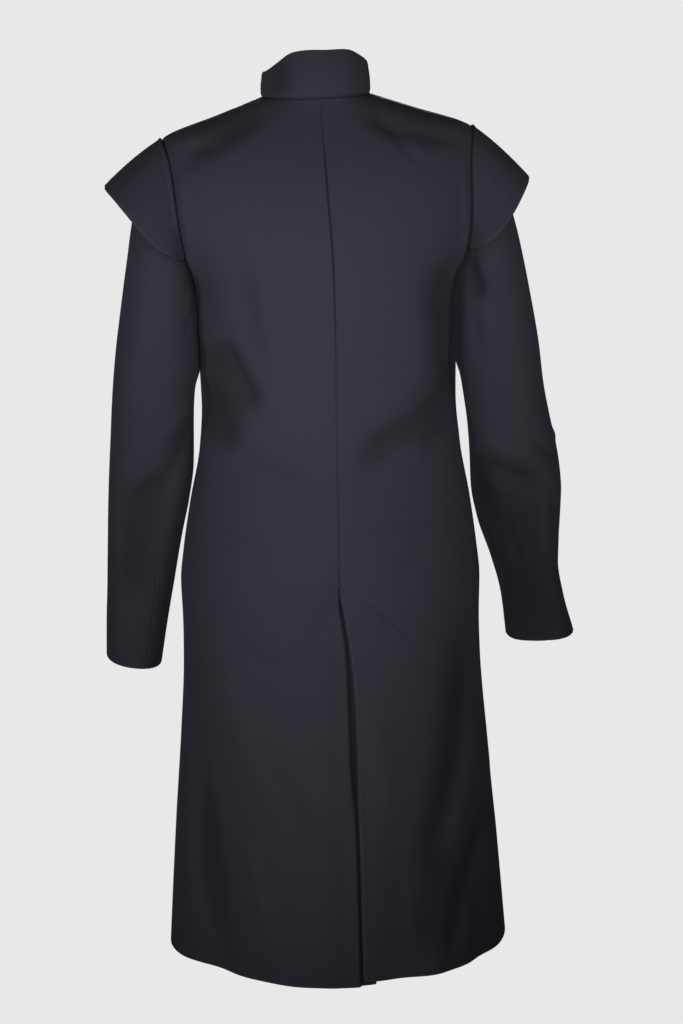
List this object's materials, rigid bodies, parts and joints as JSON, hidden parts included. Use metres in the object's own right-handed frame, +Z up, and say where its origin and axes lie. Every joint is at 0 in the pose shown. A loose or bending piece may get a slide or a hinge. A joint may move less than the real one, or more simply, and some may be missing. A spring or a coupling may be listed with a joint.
{
  "type": "stand-collar coat with shoulder wings",
  "caption": "Knee-length fitted coat with a stand collar, shoulder wings, bent sleeves and a back vent, filled out and hollow.",
  "frame": {"origin": "middle of the neck opening at the height of the collar seam, where the wearer holds the coat up", "axes": "+Z up, the front faces -Y, the wearer's left is +X"},
  "size_m": [0.6024, 0.2999, 1.1307],
  "materials": {
    "coat_gabardine": "fine dark navy wool gabardine, matt with a faint sheen"
  },
  "bodies": {
    "root": {"back_left": "coat_gabardine", "back_right": "coat_gabardine", "front_left": "coat_gabardine", "front_right": "coat_gabardine", "collar": "coat_gabardine", "wing_left": "coat_gabardine", "wing_right": "coat_gabardine", "top_sleeve_left": "coat_gabardine", "under_sleeve_left": "coat_gabardine", "top_sleeve_right": "coat_gabardine", "under_sleeve_right": "coat_gabardine"}
  },
  "joints": []
}
